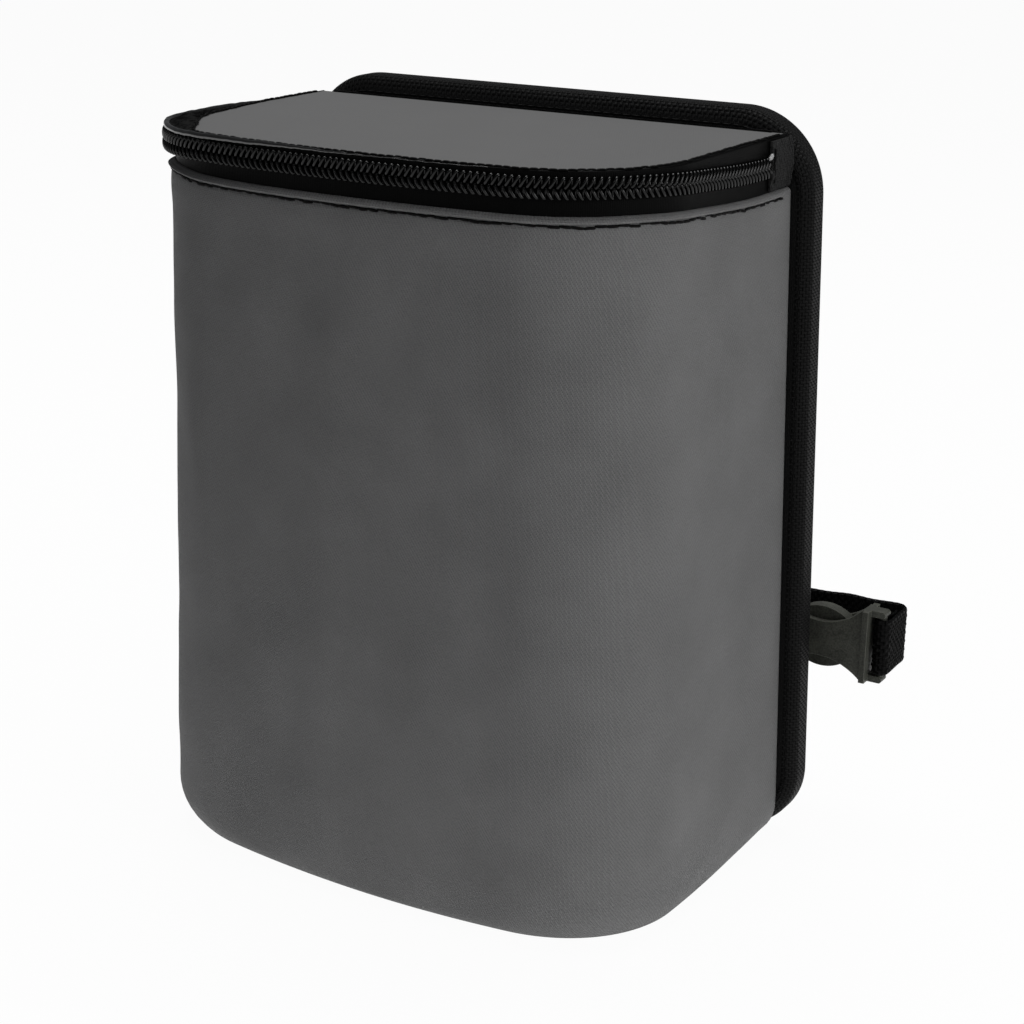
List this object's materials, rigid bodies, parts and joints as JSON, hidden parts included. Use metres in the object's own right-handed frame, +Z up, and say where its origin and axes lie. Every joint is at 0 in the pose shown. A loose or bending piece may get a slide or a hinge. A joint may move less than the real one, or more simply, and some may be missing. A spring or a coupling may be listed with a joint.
{
  "type": "car trash bin",
  "caption": "Soft D-shaped car waste bag with a zipped hinged lid, waterproof lined body, padded back panel and a buckled strap loop.",
  "frame": {"origin": "centre of the flat bottom, on the floor", "axes": "+Z up, +Y towards the back panel and strap, +X along the lid's hinge line"},
  "size_m": [0.2002, 0.1457, 0.221],
  "materials": {
    "grey_fabric": "fine grey twill",
    "black_fabric": "plain black cloth",
    "foam": "closed-cell foam",
    "board": "thin stiff board",
    "liner": "smooth waterproof film",
    "zip_tape": "herringbone tape",
    "zip_coil": "glossy coil",
    "binding": "coarse woven binding",
    "webbing": "coarse webbing",
    "buckle_plastic": "moulded, lightly textured",
    "slider_metal": "black enamel"
  },
  "bodies": {
    "root": {"outer_wall": "grey_fabric", "bottom_panel": "grey_fabric", "wall_foam": "foam", "bottom_board": "board", "liner_wall": "liner", "liner_base": "liner", "liner_back": "liner", "lower_tape": "zip_tape", "lower_coil": "zip_coil", "end_tab_right": "zip_tape", "end_tab_left": "zip_tape", "hinge_strip": "black_fabric", "back_cover_front": "black_fabric", "back_foam": "foam", "back_board": "board", "back_cover_rear": "black_fabric", "back_binding": "binding", "strap_long": "webbing", "strap_short": "webbing", "strap_patch": "black_fabric", "buckle_socket": "buckle_plastic"},
    "lid": {"lid_top": "grey_fabric", "lid_board": "board", "lid_lining": "black_fabric", "upper_tape": "zip_tape", "upper_coil": "zip_coil"},
    "zip_slider": {"slider": "slider_metal"},
    "zip_pull": {"pull_tab": "slider_metal"},
    "buckle_half": {"buckle_prongs": "buckle_plastic", "buckle_webbing": "webbing"}
  },
  "joints": [
    {"name": "lid_hinge", "type": "hinge", "parent": "root", "child": "lid", "pos_m": [0, 0.0489, 0.2159], "axis": [-1, 0, 0], "range_deg": [0, 90]},
    {"name": "zip_travel", "type": "slide", "parent": "root", "child": "zip_slider", "axis": [0, -1, 0], "range_m": [0, 0.045]},
    {"name": "pull_swing", "type": "hinge", "parent": "zip_slider", "child": "zip_pull", "pos_m": [-0.08315, 0.042, 0.209], "axis": [0, 0, -1], "range_deg": [0, 150]},
    {"name": "buckle_release", "type": "slide", "parent": "root", "child": "buckle_half", "axis": [-1, 0, 0], "range_m": [0, 0.025]}
  ]
}
